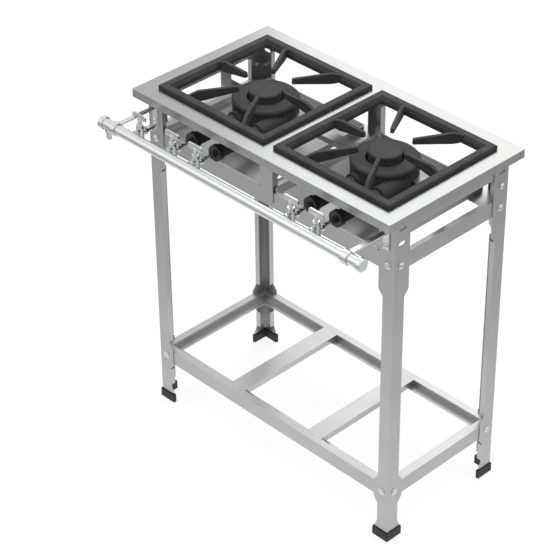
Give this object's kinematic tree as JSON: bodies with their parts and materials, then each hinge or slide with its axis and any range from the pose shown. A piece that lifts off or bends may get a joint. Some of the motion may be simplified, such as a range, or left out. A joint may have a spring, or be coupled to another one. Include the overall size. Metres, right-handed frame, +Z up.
{
  "type": "stock pot range",
  "caption": "Open gas range for stock pots: sheet-steel stand with a shelf frame, lift-off cast grates over double-ring burners, pull-out drip trays and a front gas pipe with cocks.",
  "frame": {"origin": "middle of the range's box in plan, on the floor under its feet", "axes": "+Z up, the gas pipe and its cocks on the -Y side (front), +X to the right as seen from the front"},
  "size_m": [0.716, 0.4628, 0.7953],
  "materials": {
    "polished_sheet": "bright rolled stainless sheet",
    "brushed_sheet": "folded stainless sheet, fine grain",
    "cast_iron": "sand-cast, matt dark grey",
    "black_enamel": "satin black",
    "chrome_plate": "polished plating",
    "foot_rubber": "moulded, matt"
  },
  "bodies": {
    "stand": {"top_plate": "polished_sheet", "upper_rails": "brushed_sheet", "lower_rail_front": "brushed_sheet", "lower_rail_rear": "brushed_sheet", "lower_rail_left": "brushed_sheet", "lower_rail_right": "brushed_sheet", "post_front_left": "brushed_sheet", "post_front_right": "brushed_sheet", "post_rear_left": "brushed_sheet", "post_rear_right": "brushed_sheet", "mullions": "brushed_sheet", "frame_tie": "brushed_sheet", "burner_rest": "brushed_sheet", "ring_burner_left": "cast_iron", "ring_burner_right": "cast_iron", "ring_cap_left": "cast_iron", "ring_cap_right": "cast_iron", "inner_burner_left": "cast_iron", "inner_burner_right": "cast_iron", "inner_cap_left": "cast_iron", "inner_cap_right": "cast_iron", "mixer_tube_1": "cast_iron", "mixer_tube_2": "cast_iron", "mixer_tube_3": "cast_iron", "mixer_tube_4": "cast_iron", "gas_pipe": "chrome_plate", "pipe_caps": "chrome_plate", "gas_inlet": "chrome_plate", "pipe_bracket_left": "brushed_sheet", "pipe_bracket_right": "brushed_sheet", "gas_cock_0": "chrome_plate", "gas_cock_1": "chrome_plate", "gas_cock_2": "chrome_plate", "gas_cock_3": "chrome_plate", "gas_cock_4": "chrome_plate", "leg_front_left": "brushed_sheet", "leg_front_right": "brushed_sheet", "leg_rear_left": "brushed_sheet", "leg_rear_right": "brushed_sheet", "feet": "foot_rubber", "shelf_rail_front": "polished_sheet", "shelf_rail_rear": "polished_sheet", "shelf_rail_left": "polished_sheet", "shelf_rail_right": "polished_sheet", "shelf_cross_members": "polished_sheet", "bolts": "chrome_plate"},
    "left_grate": {"grate_left": "cast_iron"},
    "right_grate": {"grate_right": "cast_iron"},
    "left_tray": {"drip_tray_left": "polished_sheet"},
    "right_tray": {"drip_tray_right": "polished_sheet"},
    "handle_0": {"cock_handle_0": "chrome_plate"},
    "handle_1": {"cock_handle_1": "chrome_plate"},
    "handle_2": {"cock_handle_2": "chrome_plate"},
    "handle_3": {"cock_handle_3": "chrome_plate"},
    "handle_4": {"cock_handle_4": "chrome_plate"},
    "shutter_1": {"air_shutter_1": "black_enamel"},
    "shutter_2": {"air_shutter_2": "black_enamel"},
    "shutter_3": {"air_shutter_3": "black_enamel"},
    "shutter_4": {"air_shutter_4": "black_enamel"}
  },
  "joints": [
    {"name": "left_grate_lift", "type": "slide", "parent": "stand", "child": "left_grate", "axis": [0, 0, 1], "range_m": [0, 0.12]},
    {"name": "right_grate_lift", "type": "slide", "parent": "stand", "child": "right_grate", "axis": [0, 0, 1], "range_m": [0, 0.12]},
    {"name": "left_tray_pull", "type": "slide", "parent": "stand", "child": "left_tray", "axis": [0, -1, 0], "range_m": [0, 0.26]},
    {"name": "right_tray_pull", "type": "slide", "parent": "stand", "child": "right_tray", "axis": [0, -1, 0], "range_m": [0, 0.26]},
    {"name": "handle_0_turn", "type": "hinge", "parent": "stand", "child": "handle_0", "pos_m": [-0.271, -0.19362, 0.769], "axis": [0, 0, 1], "range_deg": [0, 90]},
    {"name": "handle_1_turn", "type": "hinge", "parent": "stand", "child": "handle_1", "pos_m": [-0.176, -0.19362, 0.769], "axis": [0, 0, 1], "range_deg": [0, 90]},
    {"name": "handle_2_turn", "type": "hinge", "parent": "stand", "child": "handle_2", "pos_m": [-0.11, -0.19362, 0.769], "axis": [0, 0, 1], "range_deg": [0, 90]},
    {"name": "handle_3_turn", "type": "hinge", "parent": "stand", "child": "handle_3", "pos_m": [0.15, -0.19362, 0.769], "axis": [0, 0, 1], "range_deg": [0, 90]},
    {"name": "handle_4_turn", "type": "hinge", "parent": "stand", "child": "handle_4", "pos_m": [0.216, -0.19362, 0.769], "axis": [0, 0, 1], "range_deg": [0, 90]},
    {"name": "shutter_1_turn", "type": "hinge", "parent": "stand", "child": "shutter_1", "pos_m": [-0.176, -0.14563, 0.733], "axis": [0, 1, 0], "range_deg": [-30, 30]},
    {"name": "shutter_2_turn", "type": "hinge", "parent": "stand", "child": "shutter_2", "pos_m": [-0.11, -0.14563, 0.733], "axis": [0, 1, 0], "range_deg": [-30, 30]},
    {"name": "shutter_3_turn", "type": "hinge", "parent": "stand", "child": "shutter_3", "pos_m": [0.15, -0.14563, 0.733], "axis": [0, 1, 0], "range_deg": [-30, 30]},
    {"name": "shutter_4_turn", "type": "hinge", "parent": "stand", "child": "shutter_4", "pos_m": [0.216, -0.14563, 0.733], "axis": [0, 1, 0], "range_deg": [-30, 30]}
  ]
}
